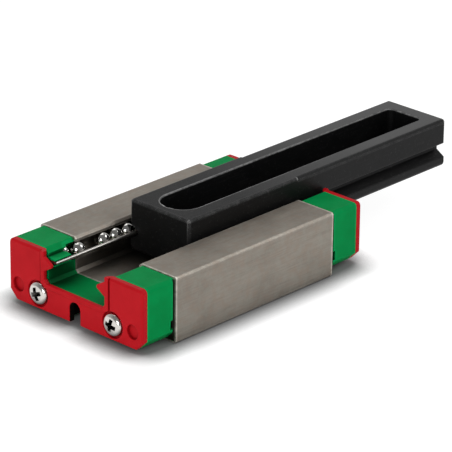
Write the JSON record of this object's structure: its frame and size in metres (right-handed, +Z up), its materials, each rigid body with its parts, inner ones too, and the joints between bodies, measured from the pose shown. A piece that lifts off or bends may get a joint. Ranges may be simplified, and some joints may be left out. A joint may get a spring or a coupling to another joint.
{
  "type": "miniature linear guide carriage",
  "caption": "Long miniature linear guide carriage on its back: U-shaped steel block, plastic end caps and seals, recirculating balls held by wires, and a slotted plastic dummy rail.",
  "frame": {"origin": "middle of the mounting face, which is also the middle of the four mounting holes", "axes": "+X along the rail towards the end where the dummy rail sticks out, +Y across the carriage, +Z up out of the rail channel"},
  "size_m": [0.0733, 0.027, 0.013],
  "materials": {
    "ground_steel": "ground along the length",
    "green_plastic": "moulded, satin",
    "red_plastic": "moulded, satin",
    "black_plastic": "moulded, satin",
    "ball_steel": "polished",
    "wire_steel": "drawn, bright",
    "screw_steel": "plated, bright"
  },
  "bodies": {
    "carriage": {"carriage_block": "ground_steel", "rear_end_cap": "green_plastic", "front_end_cap": "green_plastic", "rear_end_seal": "red_plastic", "front_end_seal": "red_plastic", "rear_left_screw": "screw_steel", "rear_right_screw": "screw_steel", "front_left_screw": "screw_steel", "front_right_screw": "screw_steel", "rear_left_return_guide": "green_plastic", "rear_right_return_guide": "green_plastic", "front_left_return_guide": "green_plastic", "front_right_return_guide": "green_plastic", "left_retaining_wire": "wire_steel", "right_retaining_wire": "wire_steel", "left_load_balls": "ball_steel", "left_return_balls": "ball_steel", "right_load_balls": "ball_steel", "right_return_balls": "ball_steel"},
    "dummy": {"dummy_rail": "black_plastic"}
  },
  "joints": [
    {"name": "dummy_rail_slide", "type": "slide", "parent": "carriage", "child": "dummy", "axis": [1, 0, 0], "range_m": [-0.0629, 0.0185]}
  ]
}
